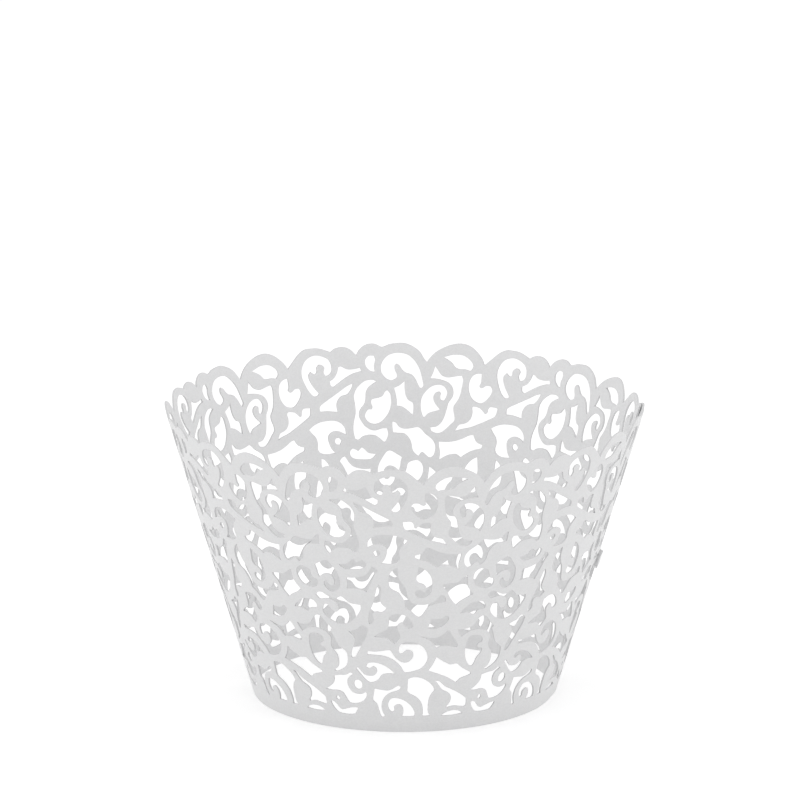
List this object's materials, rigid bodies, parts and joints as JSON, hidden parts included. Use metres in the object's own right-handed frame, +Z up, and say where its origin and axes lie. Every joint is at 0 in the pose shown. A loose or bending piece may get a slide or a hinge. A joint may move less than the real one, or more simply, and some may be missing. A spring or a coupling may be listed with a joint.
{
  "type": "cupcake wrapper",
  "caption": "Open round card sleeve, wider at the mouth, with a cut-out vine scroll and a scalloped top edge, closed by a tab in a slot and slipped round a cupcake.",
  "frame": {"origin": "middle of the base, at the height of the bottom edge", "axes": "+Z up along the cone's axis, towards the scalloped mouth; the seam is on the +X side, and -Y is the front"},
  "size_m": [0.0793, 0.0788, 0.049],
  "materials": {
    "pearl_card": "pearl satin"
  },
  "bodies": {
    "root": {"wrapper": "pearl_card"}
  },
  "joints": []
}
